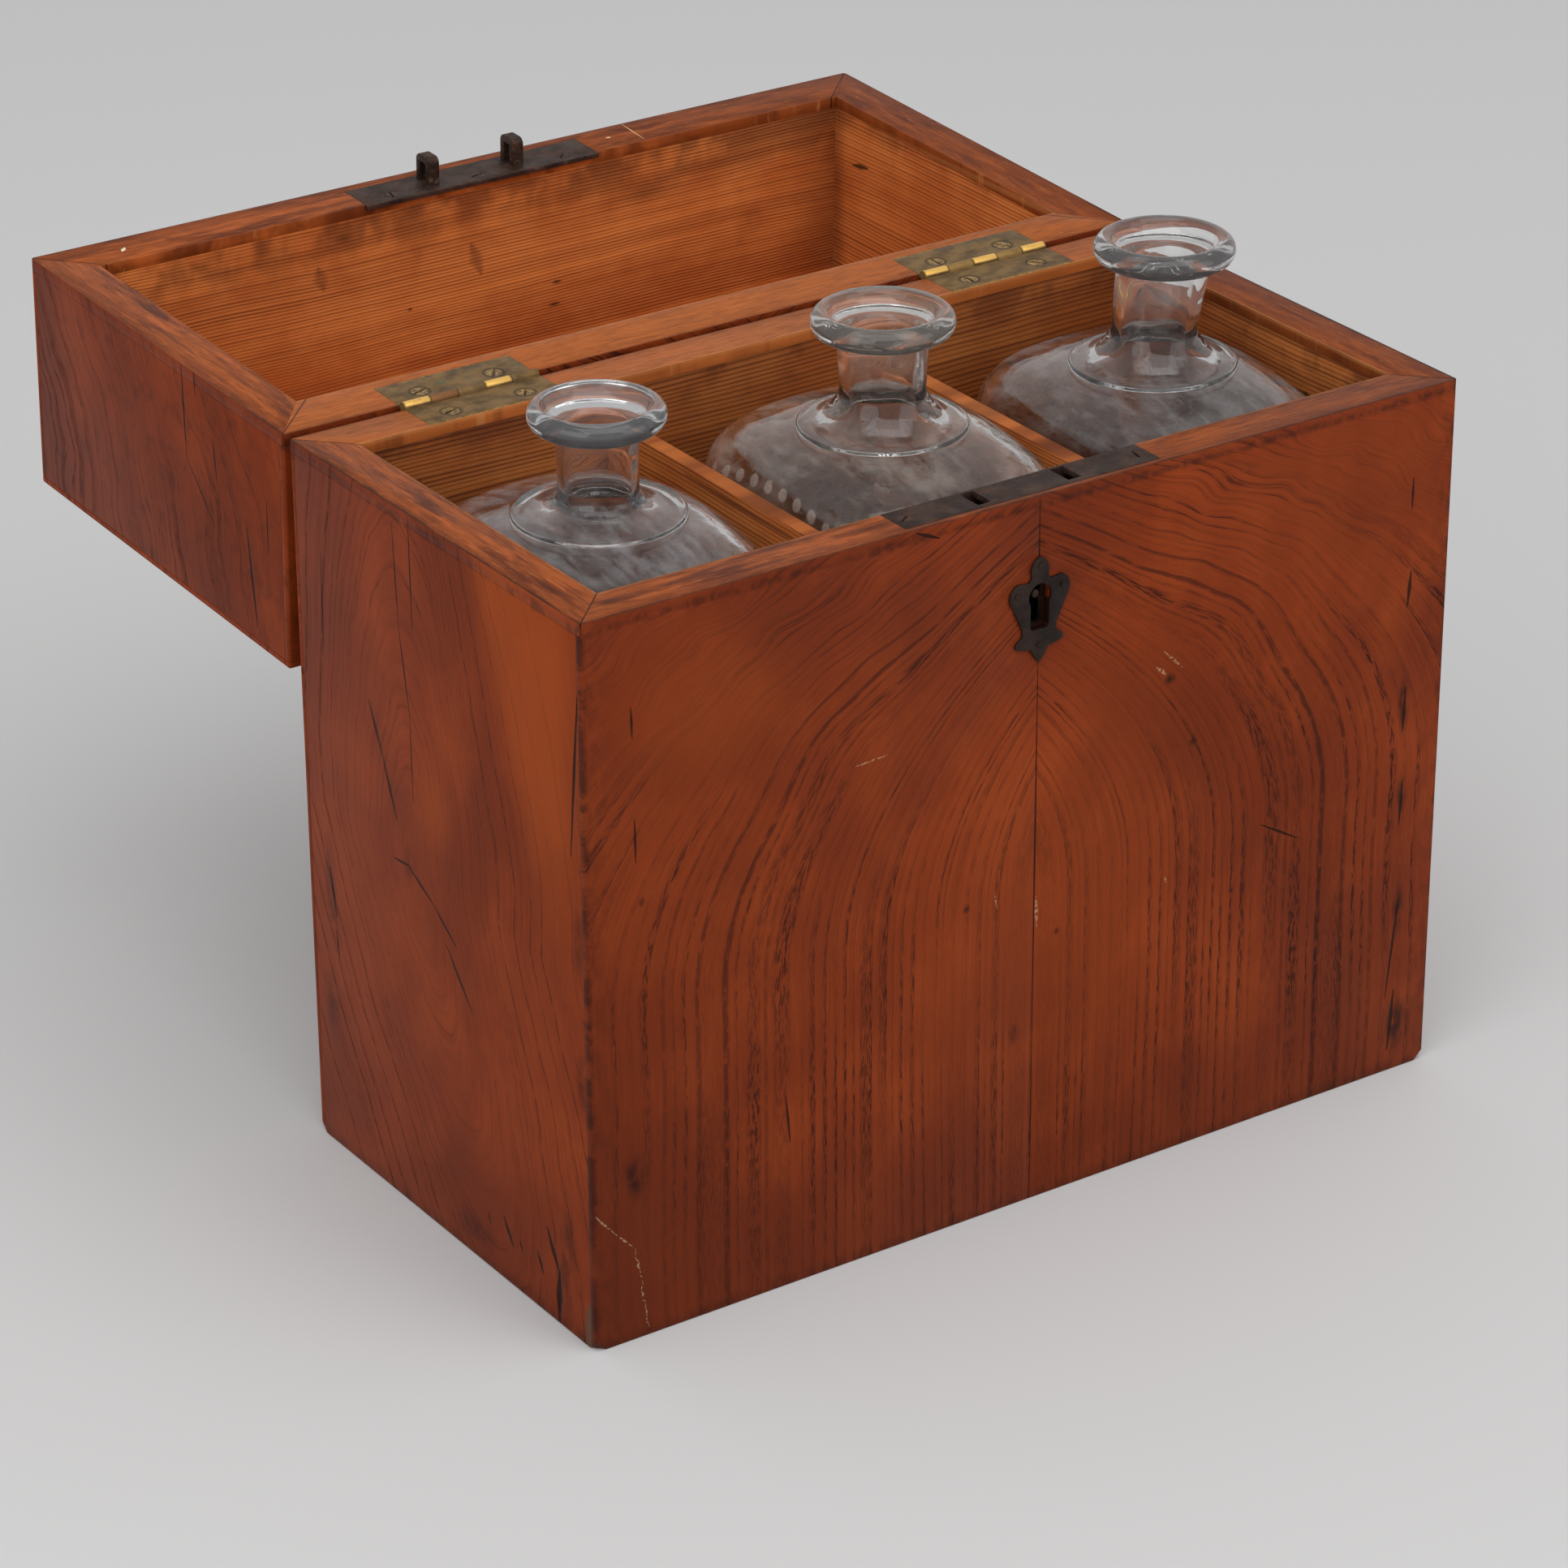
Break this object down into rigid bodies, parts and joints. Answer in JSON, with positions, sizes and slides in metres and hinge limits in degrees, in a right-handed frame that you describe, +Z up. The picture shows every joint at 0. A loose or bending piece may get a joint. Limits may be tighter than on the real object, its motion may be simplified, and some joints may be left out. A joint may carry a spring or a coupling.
{
  "type": "bottle case",
  "caption": "Veneered wooden case with a hinged lid, a link lock and dividers, holding rectangular glass bottles in compartments; shown open.",
  "frame": {"origin": "centre of the base's underside, on the surface the case stands on", "axes": "+X along the front towards its right end, -Y out of the front with the keyhole, +Z up; the lid stands open behind the base, towards +Y"},
  "size_m": [0.33, 0.3459, 0.282],
  "materials": {
    "veneer": "waxed red-brown veneer with dark pores",
    "rim_wood": "waxed solid strip, worn at its edges",
    "pine": "aged softwood, matt",
    "hinge_brass": "olive patina, worn bright on the knuckles",
    "black_iron": "blackened, slightly rusty",
    "lock_steel": "oiled grey steel",
    "glass": "clear blown glass"
  },
  "bodies": {
    "case": {"base_front_board": "pine", "base_back_board": "pine", "base_left_board": "pine", "base_right_board": "pine", "base_bottom_board": "pine", "base_front_veneer_left": "veneer", "base_front_veneer_right": "veneer", "base_back_veneer": "veneer", "base_left_veneer": "veneer", "base_right_veneer": "veneer", "base_rim_front": "rim_wood", "base_rim_right": "rim_wood", "base_rim_back": "rim_wood", "base_rim_left": "rim_wood", "divider_left": "pine", "divider_right": "pine", "hinge_leaf_base_left": "hinge_brass", "hinge_leaf_base_right": "hinge_brass", "hinge_pin_left": "hinge_brass", "hinge_pin_right": "hinge_brass", "hinge_screws_base": "hinge_brass", "lock_plate": "black_iron", "lock_cap": "black_iron", "lock_studs": "lock_steel", "lock_drill_pin": "lock_steel", "lock_spring": "lock_steel", "selvedge_screws": "black_iron", "escutcheon": "black_iron", "escutcheon_pins": "black_iron"},
    "lock_bolt": {"lock_bolt": "lock_steel"},
    "lid": {"lid_front_board": "pine", "lid_back_board": "pine", "lid_left_board": "pine", "lid_right_board": "pine", "lid_top_board": "pine", "lid_top_veneer": "veneer", "lid_front_veneer_left": "veneer", "lid_front_veneer_right": "veneer", "lid_back_veneer": "veneer", "lid_left_veneer": "veneer", "lid_right_veneer": "veneer", "lid_rim_front": "rim_wood", "lid_rim_right": "rim_wood", "lid_rim_back": "rim_wood", "lid_rim_left": "rim_wood", "hinge_leaf_lid_left": "hinge_brass", "hinge_leaf_lid_right": "hinge_brass", "hinge_screws_lid": "hinge_brass", "staple_plate": "black_iron", "staples": "black_iron", "staple_plate_screws": "black_iron"},
    "bottle_left": {"bottle_left": "glass"},
    "bottle_middle": {"bottle_middle": "glass"},
    "bottle_right": {"bottle_right": "glass"}
  },
  "joints": [
    {"name": "lid_hinge", "type": "hinge", "parent": "case", "child": "lid", "pos_m": [0, 0.08655, 0.246], "axis": [1, 0, 0], "range_deg": [0, 177.9]},
    {"name": "lock_bolt_slide", "type": "slide", "parent": "case", "child": "lock_bolt", "axis": [1, 0, 0], "range_m": [0, 0.007]},
    {"name": "bottle_left_lift", "type": "slide", "parent": "case", "child": "bottle_left", "axis": [0, 0, 1], "range_m": [0, 0.33]},
    {"name": "bottle_middle_lift", "type": "slide", "parent": "case", "child": "bottle_middle", "axis": [0, 0, 1], "range_m": [0, 0.33]},
    {"name": "bottle_right_lift", "type": "slide", "parent": "case", "child": "bottle_right", "axis": [0, 0, 1], "range_m": [0, 0.33]}
  ]
}
